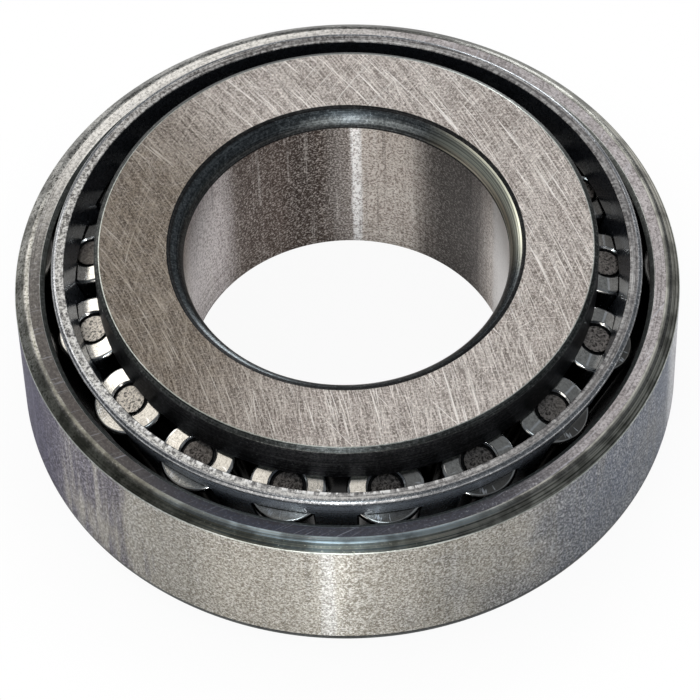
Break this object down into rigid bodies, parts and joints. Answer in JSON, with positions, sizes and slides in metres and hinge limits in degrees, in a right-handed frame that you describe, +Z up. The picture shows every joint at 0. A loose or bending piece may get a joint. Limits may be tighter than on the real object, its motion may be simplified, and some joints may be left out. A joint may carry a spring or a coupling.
{
  "type": "tapered roller bearing",
  "caption": "Single-row tapered roller bearing: an inner ring, caged tapered rollers and a fixed outer ring that turn on one axis.",
  "frame": {"origin": "centre of the cup's back face, on the bearing axis, the plane the bearing stands on", "axes": "+Z up the bearing axis, from the cup's back face to the cone's back face; +X through the axis of roller_01"},
  "size_m": [0.0682, 0.0682, 0.0222],
  "materials": {
    "ring_steel": "ground bearing steel, satin on the faces and seats",
    "cage_steel": "pressed steel, dark glossy wall with a sheared rim",
    "roller_steel": "ground and honed bearing steel"
  },
  "bodies": {
    "cup": {"cup": "ring_steel"},
    "cone": {"cone": "ring_steel"},
    "cage": {"cage": "cage_steel"},
    "roller_01": {"roller_01": "roller_steel"},
    "roller_02": {"roller_02": "roller_steel"},
    "roller_03": {"roller_03": "roller_steel"},
    "roller_04": {"roller_04": "roller_steel"},
    "roller_05": {"roller_05": "roller_steel"},
    "roller_06": {"roller_06": "roller_steel"},
    "roller_07": {"roller_07": "roller_steel"},
    "roller_08": {"roller_08": "roller_steel"},
    "roller_09": {"roller_09": "roller_steel"},
    "roller_10": {"roller_10": "roller_steel"},
    "roller_11": {"roller_11": "roller_steel"},
    "roller_12": {"roller_12": "roller_steel"},
    "roller_13": {"roller_13": "roller_steel"},
    "roller_14": {"roller_14": "roller_steel"},
    "roller_15": {"roller_15": "roller_steel"},
    "roller_16": {"roller_16": "roller_steel"},
    "roller_17": {"roller_17": "roller_steel"}
  },
  "joints": [
    {"name": "cone_spin", "type": "hinge", "parent": "cup", "child": "cone", "pos_m": [0, 0, 0], "axis": [0, 0, 1], "continuous": true},
    {"name": "cage_orbit", "type": "hinge", "parent": "cup", "child": "cage", "pos_m": [0, 0, 0], "axis": [0, 0, 1], "continuous": true},
    {"name": "roller_01_spin", "type": "hinge", "parent": "cage", "child": "roller_01", "pos_m": [0.02441, 0, 0.00964], "axis": [0.2993, 0, 0.9542], "continuous": true},
    {"name": "roller_02_spin", "type": "hinge", "parent": "cage", "child": "roller_02", "pos_m": [0.02276, 0.00882, 0.00964], "axis": [0.2791, 0.1081, 0.9542], "continuous": true},
    {"name": "roller_03_spin", "type": "hinge", "parent": "cage", "child": "roller_03", "pos_m": [0.01804, 0.01644, 0.00964], "axis": [0.2212, 0.2016, 0.9542], "continuous": true},
    {"name": "roller_04_spin", "type": "hinge", "parent": "cage", "child": "roller_04", "pos_m": [0.01088, 0.02185, 0.00964], "axis": [0.1334, 0.2679, 0.9542], "continuous": true},
    {"name": "roller_05_spin", "type": "hinge", "parent": "cage", "child": "roller_05", "pos_m": [0.00225, 0.0243, 0.00964], "axis": [0.0276, 0.298, 0.9542], "continuous": true},
    {"name": "roller_06_spin", "type": "hinge", "parent": "cage", "child": "roller_06", "pos_m": [-0.00668, 0.02348, 0.00964], "axis": [-0.0819, 0.2879, 0.9542], "continuous": true},
    {"name": "roller_07_spin", "type": "hinge", "parent": "cage", "child": "roller_07", "pos_m": [-0.01471, 0.01948, 0.00964], "axis": [-0.1804, 0.2388, 0.9542], "continuous": true},
    {"name": "roller_08_spin", "type": "hinge", "parent": "cage", "child": "roller_08", "pos_m": [-0.02075, 0.01285, 0.00964], "axis": [-0.2545, 0.1576, 0.9542], "continuous": true},
    {"name": "roller_09_spin", "type": "hinge", "parent": "cage", "child": "roller_09", "pos_m": [-0.02399, 0.00449, 0.00964], "axis": [-0.2942, 0.055, 0.9542], "continuous": true},
    {"name": "roller_10_spin", "type": "hinge", "parent": "cage", "child": "roller_10", "pos_m": [-0.02399, -0.00449, 0.00964], "axis": [-0.2942, -0.055, 0.9542], "continuous": true},
    {"name": "roller_11_spin", "type": "hinge", "parent": "cage", "child": "roller_11", "pos_m": [-0.02075, -0.01285, 0.00964], "axis": [-0.2545, -0.1576, 0.9542], "continuous": true},
    {"name": "roller_12_spin", "type": "hinge", "parent": "cage", "child": "roller_12", "pos_m": [-0.01471, -0.01948, 0.00964], "axis": [-0.1804, -0.2388, 0.9542], "continuous": true},
    {"name": "roller_13_spin", "type": "hinge", "parent": "cage", "child": "roller_13", "pos_m": [-0.00668, -0.02348, 0.00964], "axis": [-0.0819, -0.2879, 0.9542], "continuous": true},
    {"name": "roller_14_spin", "type": "hinge", "parent": "cage", "child": "roller_14", "pos_m": [0.00225, -0.0243, 0.00964], "axis": [0.0276, -0.298, 0.9542], "continuous": true},
    {"name": "roller_15_spin", "type": "hinge", "parent": "cage", "child": "roller_15", "pos_m": [0.01088, -0.02185, 0.00964], "axis": [0.1334, -0.2679, 0.9542], "continuous": true},
    {"name": "roller_16_spin", "type": "hinge", "parent": "cage", "child": "roller_16", "pos_m": [0.01804, -0.01644, 0.00964], "axis": [0.2212, -0.2016, 0.9542], "continuous": true},
    {"name": "roller_17_spin", "type": "hinge", "parent": "cage", "child": "roller_17", "pos_m": [0.02276, -0.00882, 0.00964], "axis": [0.2791, -0.1081, 0.9542], "continuous": true}
  ],
  "couplings": [
    {"joint": "cage_orbit", "follows": "cone_spin", "ratio": 0.42804},
    {"joint": "roller_01_spin", "follows": "cone_spin", "ratio": -3.2464},
    {"joint": "roller_02_spin", "follows": "cone_spin", "ratio": -3.2464},
    {"joint": "roller_03_spin", "follows": "cone_spin", "ratio": -3.2464},
    {"joint": "roller_04_spin", "follows": "cone_spin", "ratio": -3.2464},
    {"joint": "roller_05_spin", "follows": "cone_spin", "ratio": -3.2464},
    {"joint": "roller_06_spin", "follows": "cone_spin", "ratio": -3.2464},
    {"joint": "roller_07_spin", "follows": "cone_spin", "ratio": -3.2464},
    {"joint": "roller_08_spin", "follows": "cone_spin", "ratio": -3.2464},
    {"joint": "roller_09_spin", "follows": "cone_spin", "ratio": -3.2464},
    {"joint": "roller_10_spin", "follows": "cone_spin", "ratio": -3.2464},
    {"joint": "roller_11_spin", "follows": "cone_spin", "ratio": -3.2464},
    {"joint": "roller_12_spin", "follows": "cone_spin", "ratio": -3.2464},
    {"joint": "roller_13_spin", "follows": "cone_spin", "ratio": -3.2464},
    {"joint": "roller_14_spin", "follows": "cone_spin", "ratio": -3.2464},
    {"joint": "roller_15_spin", "follows": "cone_spin", "ratio": -3.2464},
    {"joint": "roller_16_spin", "follows": "cone_spin", "ratio": -3.2464},
    {"joint": "roller_17_spin", "follows": "cone_spin", "ratio": -3.2464}
  ]
}
